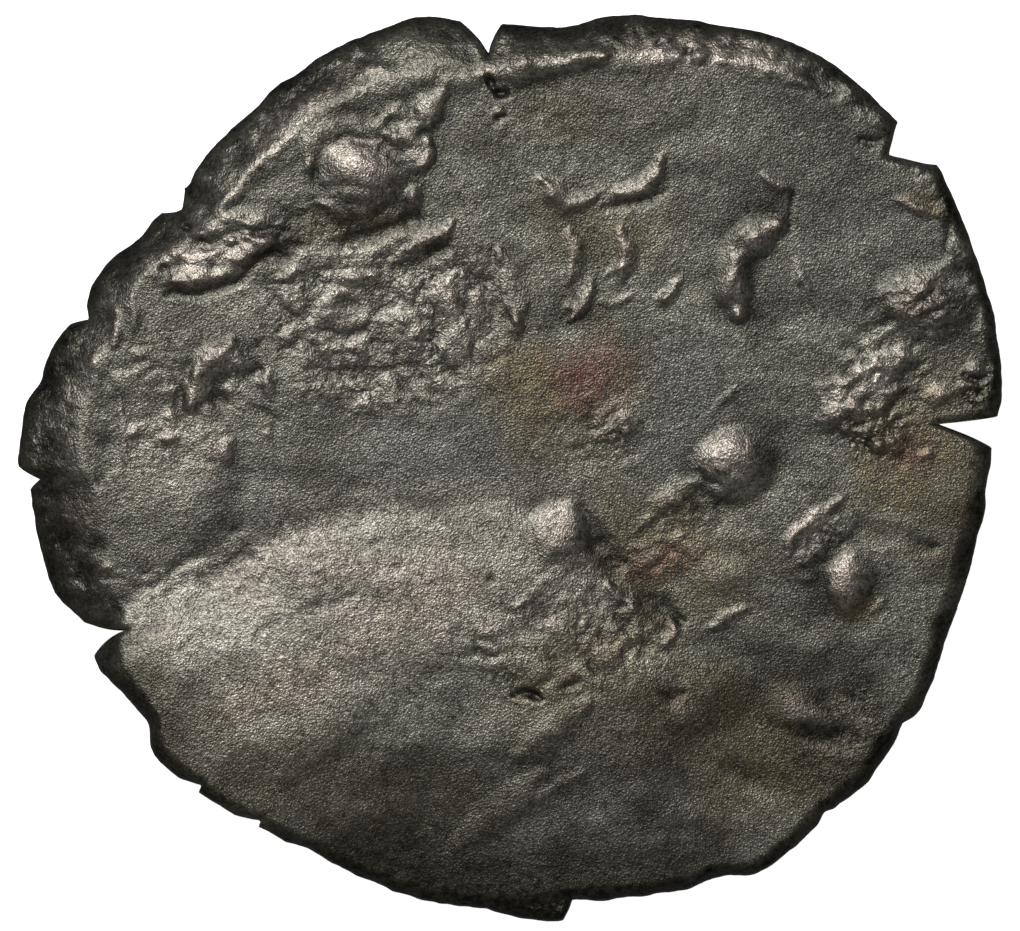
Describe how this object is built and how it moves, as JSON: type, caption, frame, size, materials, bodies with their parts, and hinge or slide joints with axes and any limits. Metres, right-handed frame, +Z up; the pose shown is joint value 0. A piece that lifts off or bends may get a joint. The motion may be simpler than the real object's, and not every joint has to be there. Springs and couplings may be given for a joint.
{
  "type": "potin coin",
  "caption": "Ancient struck potin coin: an uneven disc with split edges, a worn animal's back, pellets and worn marks, lying flat.",
  "frame": {"origin": "under the middle of the coin's outline, on the plane that it lies on", "axes": "+X to the right of the struck face, across the widest span; +Y to the top of that face; +Z up out of the struck face, through the thickness"},
  "size_m": [0.0164, 0.0152, 0.0018],
  "materials": {
    "potin": "dark grey-olive patina on struck potin, satin, with paler worn high spots and a few rusty and ochre stains"
  },
  "bodies": {
    "root": {"coin": "potin"}
  },
  "joints": []
}
